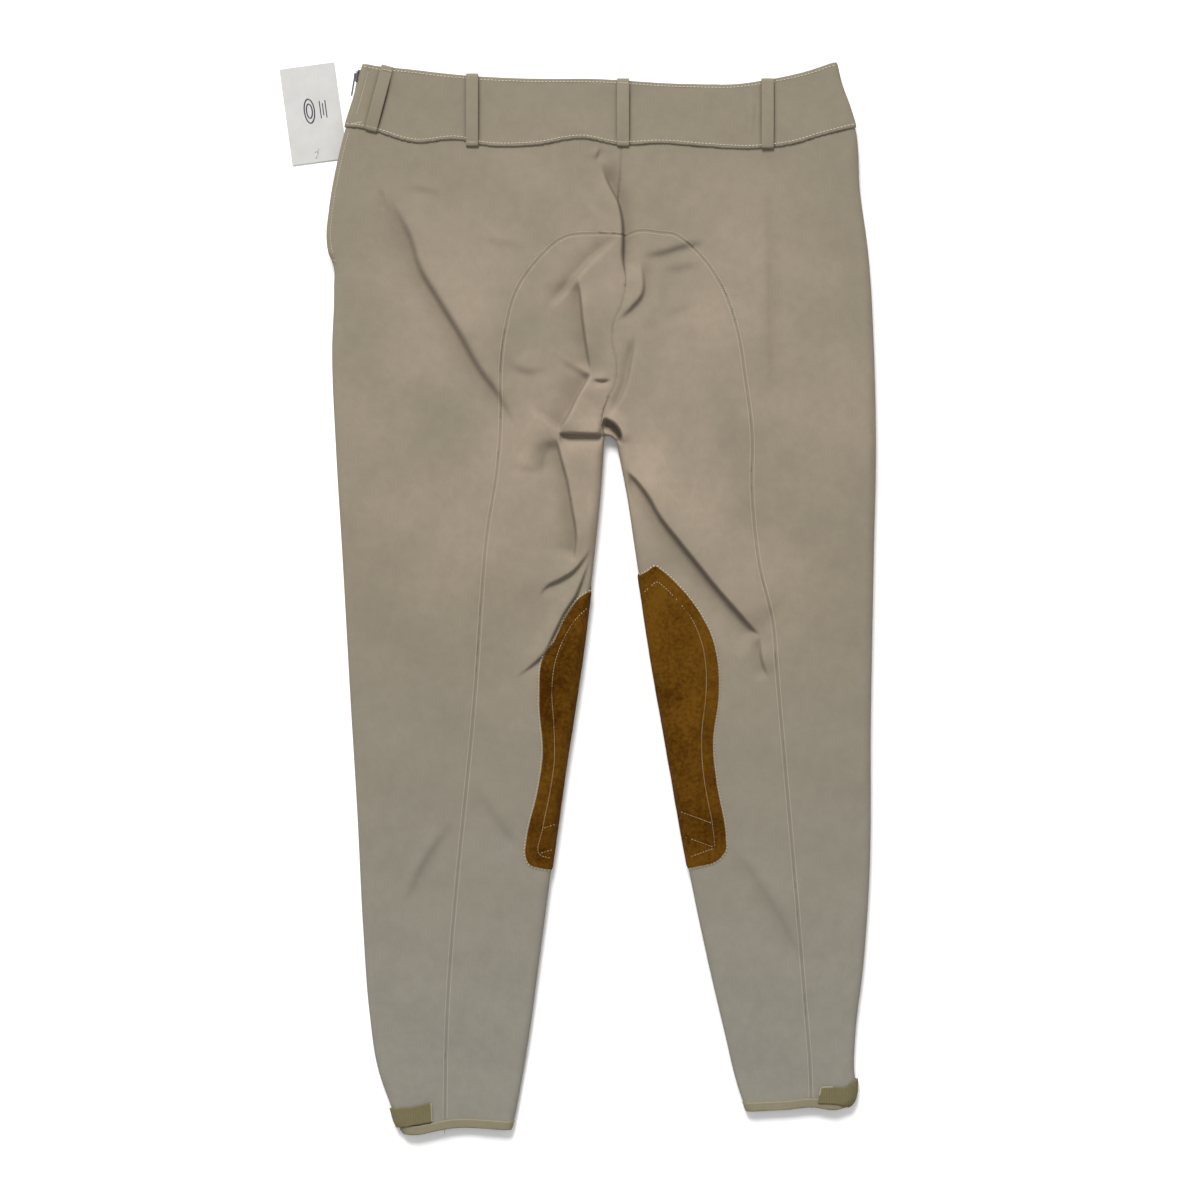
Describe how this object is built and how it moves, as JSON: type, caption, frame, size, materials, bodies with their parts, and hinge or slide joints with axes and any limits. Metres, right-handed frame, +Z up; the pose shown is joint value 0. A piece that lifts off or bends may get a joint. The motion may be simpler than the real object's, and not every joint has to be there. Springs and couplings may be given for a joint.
{
  "type": "riding breeches",
  "caption": "Beige stretch-twill riding breeches with suede knee patches, a left side zip and hook-and-loop ankles, laid flat on their front.",
  "frame": {"origin": "middle of the box that holds the whole object, on the surface it lies on", "axes": "+X across the back from the wearer's left to the wearer's right, +Y up the garment to the waistband, +Z up from the surface, with the garment's back facing up"},
  "size_m": [0.5462, 0.9817, 0.0219],
  "materials": {
    "twill": "beige cotton-blend stretch twill, matt",
    "facing": "light cotton lining",
    "suede": "tan brown suede with a short nap",
    "hem_tape": "woven olive-tan tape",
    "loop_tape": "olive loop pile tape",
    "hook_tape": "olive hook tape",
    "closing_tape": "ribbed woven olive tape",
    "zip_tape": "woven zip tape",
    "zip_coil": "moulded nylon coil",
    "zip_metal": "dark gunmetal plating",
    "hook_metal": "nickel plated",
    "tag_card": "smooth off-white card with a plain printed mark",
    "tag_plastic": "clear moulded plastic",
    "label": "blank white woven label"
  },
  "bodies": {
    "breeches": {"left_back_panel": "twill", "right_back_panel": "twill", "left_seat_panel": "twill", "right_seat_panel": "twill", "left_front_panel": "twill", "right_front_panel": "twill", "back_waistband": "twill", "front_waistband": "twill", "waistband_facing": "facing", "belt_loop_side_left": "twill", "belt_loop_back_left": "twill", "belt_loop_back_centre": "twill", "belt_loop_back_right": "twill", "belt_loop_front_left": "twill", "belt_loop_front_right": "twill", "zip_tape_back": "zip_tape", "zip_tape_front": "zip_tape", "zip_coil_back": "zip_coil", "zip_coil_front": "zip_coil", "zip_top_stops": "zip_metal", "zip_bottom_stop": "zip_metal", "zip_guard": "twill", "waist_hook": "hook_metal", "waist_bar": "hook_metal", "left_knee_patch": "suede", "right_knee_patch": "suede", "left_hem_tape": "hem_tape", "right_hem_tape": "hem_tape", "left_ankle_loop_tape": "loop_tape", "right_ankle_loop_tape": "loop_tape", "tag_pin": "tag_plastic", "care_label": "label"},
    "slider": {"zip_slider": "zip_metal"},
    "pull": {"zip_pull": "zip_metal"},
    "left_tab": {"left_ankle_tab": "closing_tape", "left_ankle_hook_tape": "hook_tape"},
    "right_tab": {"right_ankle_tab": "closing_tape", "right_ankle_hook_tape": "hook_tape"},
    "tag": {"hang_tag": "tag_card"}
  },
  "joints": [
    {"name": "zip_run", "type": "slide", "parent": "breeches", "child": "slider", "axis": [-0.1644, -0.9864, 0], "range_m": [0, 0.145]},
    {"name": "zip_pull_swing", "type": "hinge", "parent": "slider", "child": "pull", "pos_m": [-0.20301, 0.47801, 0.0089], "axis": [0, 0, -1], "range_deg": [0, 170]},
    {"name": "left_ankle_closing", "type": "hinge", "parent": "breeches", "child": "left_tab", "pos_m": [-0.16715, -0.474, 0.0119], "axis": [0.3283, -0.9446, 0], "range_deg": [0, 180]},
    {"name": "right_ankle_closing", "type": "hinge", "parent": "breeches", "child": "right_tab", "pos_m": [0.2525, -0.4523, 0.0119], "axis": [0.1628, 0.9867, 0], "range_deg": [0, 180]},
    {"name": "tag_swing", "type": "hinge", "parent": "breeches", "child": "tag", "pos_m": [-0.2387, 0.408, 0.00097], "axis": [0, 0, 1], "range_deg": [-20, 40]}
  ]
}
